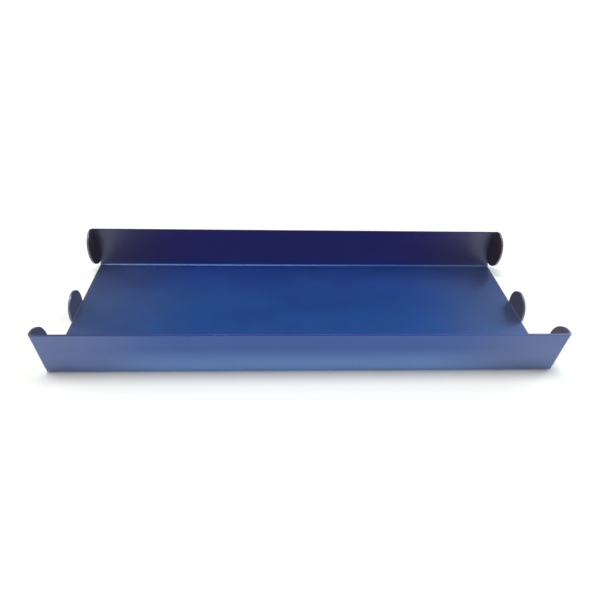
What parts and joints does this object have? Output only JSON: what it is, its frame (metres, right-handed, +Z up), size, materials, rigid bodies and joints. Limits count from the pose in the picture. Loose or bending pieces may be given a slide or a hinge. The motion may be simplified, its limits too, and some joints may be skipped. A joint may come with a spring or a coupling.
{
  "type": "rolled coin tray",
  "caption": "Shallow open-ended tray folded from one sheet of blue anodised aluminium, with two long flared walls and round stop tabs at both ends, for rolled coins laid side by side.",
  "frame": {"origin": "middle of the footprint, on the underside of the floor", "axes": "+X along the tray's length, +Y from the front wall to the back wall across the width, +Z up"},
  "size_m": [0.2254, 0.0894, 0.0224],
  "materials": {
    "blue_anodised_sheet": "satin blue anodised rolled sheet"
  },
  "bodies": {
    "root": {"floor_panel": "blue_anodised_sheet", "front_wall": "blue_anodised_sheet", "back_wall": "blue_anodised_sheet", "front_left_end_tab": "blue_anodised_sheet", "front_right_end_tab": "blue_anodised_sheet", "back_left_end_tab": "blue_anodised_sheet", "back_right_end_tab": "blue_anodised_sheet", "left_floor_tab": "blue_anodised_sheet", "right_floor_tab": "blue_anodised_sheet"}
  },
  "joints": []
}
